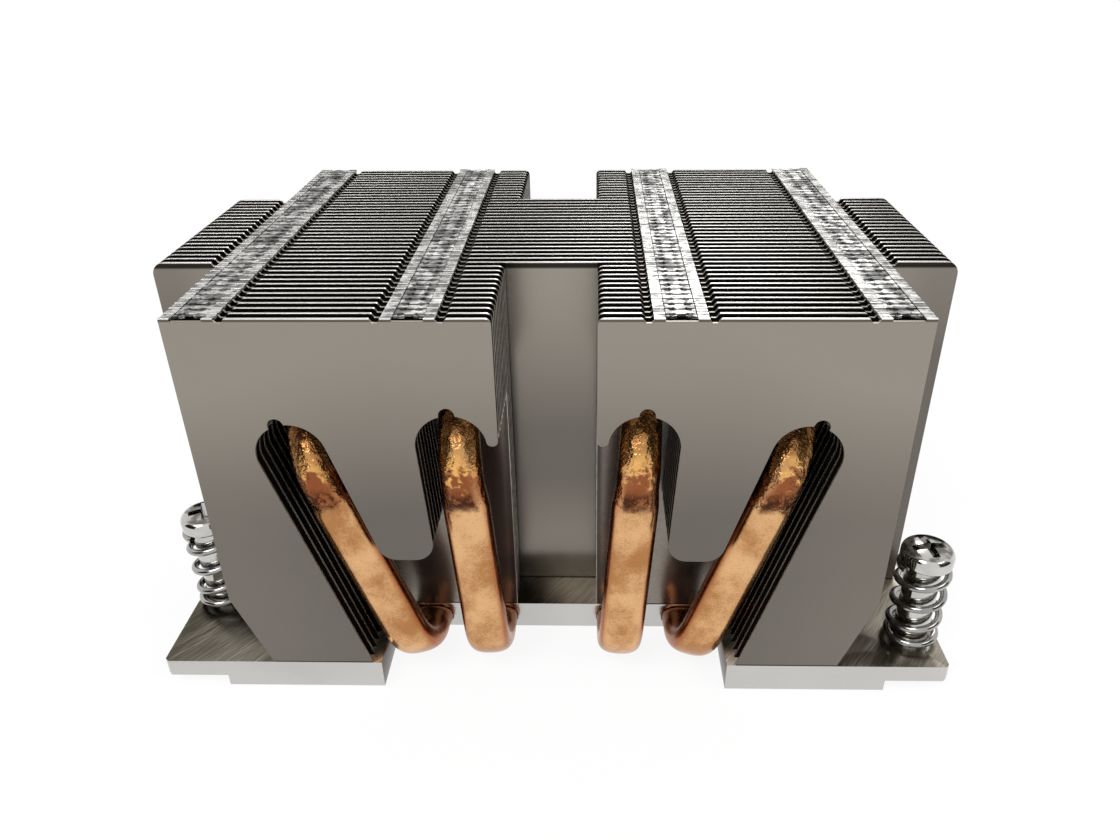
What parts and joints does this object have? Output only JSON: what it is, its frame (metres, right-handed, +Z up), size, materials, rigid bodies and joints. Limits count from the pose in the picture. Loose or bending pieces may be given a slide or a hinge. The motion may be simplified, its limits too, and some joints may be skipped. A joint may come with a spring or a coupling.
{
  "type": "passive server cpu heatsink",
  "caption": "Passive server processor heatsink: folded fin stack on a machined base, flattened copper heat pipes bent in a U, and captive spring screws.",
  "frame": {"origin": "middle of the contact face under the base plate", "axes": "+X along the fins to the right-hand screws, +Y from the front of the stack, where the pipes bend, to the rear, +Z up to the top of the fins"},
  "size_m": [0.124, 0.0765, 0.064],
  "materials": {
    "base_plate": "brushed, nickel plated",
    "fins": "satin, nickel plated sheet",
    "copper": "polished copper",
    "screw_steel": "nickel plated",
    "spring_steel": "polished spring wire"
  },
  "bodies": {
    "heatsink": {"base_plate": "base_plate", "front_fins_left_1": "fins", "front_fins_left_2": "fins", "front_fins_right_1": "fins", "front_fins_right_2": "fins", "heat_pipe_inner_left": "copper", "heat_pipe_inner_right": "copper", "heat_pipe_outer_left": "copper", "heat_pipe_outer_right": "copper", "middle_fin_01": "fins", "middle_fin_02": "fins", "middle_fin_03": "fins", "middle_fin_04": "fins", "middle_fin_05": "fins", "middle_fin_06": "fins", "middle_fin_07": "fins", "middle_fin_08": "fins", "middle_fin_09": "fins", "middle_fin_10": "fins", "middle_fin_11": "fins", "middle_fin_12": "fins", "middle_fin_13": "fins", "middle_fin_14": "fins", "middle_fin_15": "fins", "middle_fin_16": "fins", "middle_fin_17": "fins", "middle_fin_18": "fins", "middle_fin_19": "fins", "middle_fin_20": "fins", "rear_fins_left_1": "fins", "rear_fins_left_2": "fins", "rear_fins_left_3": "fins", "rear_fins_left_4": "fins", "rear_fins_right_1": "fins", "rear_fins_right_2": "fins", "rear_fins_right_3": "fins", "rear_fins_right_4": "fins", "screw_spring_front_left": "spring_steel", "screw_spring_front_right": "spring_steel", "screw_spring_rear_left": "spring_steel", "screw_spring_rear_right": "spring_steel", "slotted_fins_left_1": "fins", "slotted_fins_left_2": "fins", "slotted_fins_left_3": "fins", "slotted_fins_left_4": "fins", "slotted_fins_right_1": "fins", "slotted_fins_right_2": "fins", "slotted_fins_right_3": "fins", "slotted_fins_right_4": "fins"},
    "captive_front_left": {"retaining_ring_front_left": "screw_steel"},
    "screw_front_left": {"spring_screw_front_left": "screw_steel"},
    "captive_front_right": {"retaining_ring_front_right": "screw_steel"},
    "screw_front_right": {"spring_screw_front_right": "screw_steel"},
    "captive_rear_left": {"retaining_ring_rear_left": "screw_steel"},
    "screw_rear_left": {"spring_screw_rear_left": "screw_steel"},
    "captive_rear_right": {"retaining_ring_rear_right": "screw_steel"},
    "screw_rear_right": {"spring_screw_rear_right": "screw_steel"}
  },
  "joints": [
    {"name": "press_front_left", "type": "slide", "parent": "heatsink", "child": "captive_front_left", "axis": [0, 0, -1], "range_m": [0, 0.005], "stiffness_N_per_m": 2000, "springref_m": -0.003, "deforming": ["screw_spring_front_left"]},
    {"name": "turn_front_left", "type": "hinge", "parent": "captive_front_left", "child": "screw_front_left", "pos_m": [-0.0577, -0.02221, 0.01], "axis": [0, 0, 1], "continuous": true},
    {"name": "press_front_right", "type": "slide", "parent": "heatsink", "child": "captive_front_right", "axis": [0, 0, -1], "range_m": [0, 0.005], "stiffness_N_per_m": 2000, "springref_m": -0.003, "deforming": ["screw_spring_front_right"]},
    {"name": "turn_front_right", "type": "hinge", "parent": "captive_front_right", "child": "screw_front_right", "pos_m": [0.0577, -0.03061, 0.01], "axis": [0, 0, 1], "continuous": true},
    {"name": "press_rear_left", "type": "slide", "parent": "heatsink", "child": "captive_rear_left", "axis": [0, 0, -1], "range_m": [0, 0.005], "stiffness_N_per_m": 2000, "springref_m": -0.003, "deforming": ["screw_spring_rear_left"]},
    {"name": "turn_rear_left", "type": "hinge", "parent": "captive_rear_left", "child": "screw_rear_left", "pos_m": [-0.0577, 0.02221, 0.01], "axis": [0, 0, 1], "continuous": true},
    {"name": "press_rear_right", "type": "slide", "parent": "heatsink", "child": "captive_rear_right", "axis": [0, 0, -1], "range_m": [0, 0.005], "stiffness_N_per_m": 2000, "springref_m": -0.003, "deforming": ["screw_spring_rear_right"]},
    {"name": "turn_rear_right", "type": "hinge", "parent": "captive_rear_right", "child": "screw_rear_right", "pos_m": [0.0577, 0.03061, 0.01], "axis": [0, 0, 1], "continuous": true}
  ]
}
